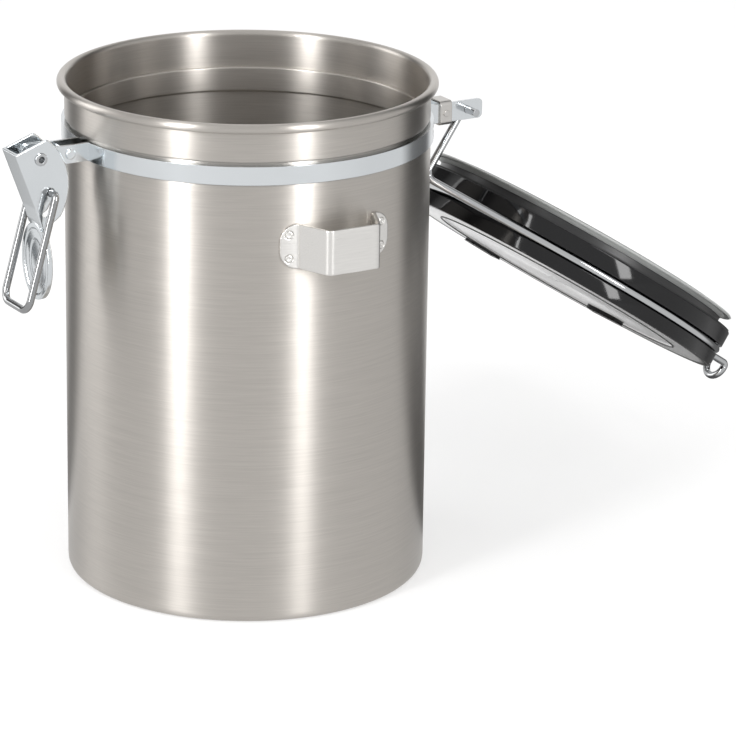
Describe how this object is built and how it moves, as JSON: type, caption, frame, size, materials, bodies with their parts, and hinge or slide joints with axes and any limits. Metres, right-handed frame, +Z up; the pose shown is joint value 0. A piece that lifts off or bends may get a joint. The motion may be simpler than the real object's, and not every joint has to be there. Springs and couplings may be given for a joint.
{
  "type": "food canister",
  "caption": "Round steel food canister with a hinged clamp lid on a wire bail, lever latch, dial wheels under lid windows, one-way valve and a scoop clip.",
  "frame": {"origin": "centre of the base, on the surface it stands on", "axes": "+Z up along the canister's axis, +X towards the lid hinge, -X towards the latch, -Y towards the scoop clip"},
  "size_m": [0.2881, 0.1357, 0.1712],
  "materials": {
    "brushed_steel_body": "brushed round the canister",
    "bright_zinc": "bright plated sheet and wire",
    "grey_steel": "matte grey",
    "lid_black": "gloss wall, satin skirt",
    "lid_plate": "brushed round",
    "gasket_rubber": "matte",
    "seal_silicone": "satin",
    "liner_plastic": "satin",
    "wheel_black": "matte with white numbers",
    "valve_plastic": "satin",
    "valve_rubber": "matte"
  },
  "bodies": {
    "canister": {"canister_body": "brushed_steel_body", "scoop_clip": "brushed_steel_body", "clip_spot_welds": "grey_steel", "neck_band_front": "bright_zinc", "neck_band_rear": "bright_zinc", "hinge_collar": "grey_steel", "collar_rivet": "grey_steel", "latch_tie_rivet": "bright_zinc", "latch_pivot_rivet": "bright_zinc"},
    "lid": {"lid_bail": "bright_zinc", "lid_shell": "lid_black", "lid_top_plate": "lid_plate", "lid_gasket": "gasket_rubber", "lid_liner": "liner_plastic", "lip_seal": "seal_silicone", "dial_hub": "wheel_black", "valve_body": "valve_plastic", "valve_membrane": "valve_rubber", "valve_cap": "valve_plastic"},
    "day_dial": {"day_wheel": "wheel_black"},
    "month_dial": {"month_wheel": "wheel_black"},
    "lever": {"latch_lever": "bright_zinc"},
    "loop": {"latch_loop": "bright_zinc"}
  },
  "joints": [
    {"name": "lid_hinge", "type": "hinge", "parent": "canister", "child": "lid", "pos_m": [0.0793, 0, 0.1521], "axis": [0, -1, 0], "range_deg": [0, 213.96], "deforming": ["lip_seal"]},
    {"name": "day_wheel_turn", "type": "hinge", "parent": "lid", "child": "day_dial", "pos_m": [0.12999, 0, 0.08541], "axis": [-0.5586, 0, -0.8294], "continuous": true},
    {"name": "month_wheel_turn", "type": "hinge", "parent": "lid", "child": "month_dial", "pos_m": [0.12999, 0, 0.08541], "axis": [-0.5586, 0, -0.8294], "continuous": true},
    {"name": "latch_lever_turn", "type": "hinge", "parent": "canister", "child": "lever", "pos_m": [-0.0795, 0, 0.1541], "axis": [0, 1, 0], "range_deg": [0, 135]},
    {"name": "latch_loop_turn", "type": "hinge", "parent": "lever", "child": "loop", "pos_m": [-0.076, 0, 0.1425], "axis": [0, 1, 0], "range_deg": [0, 165]}
  ]
}
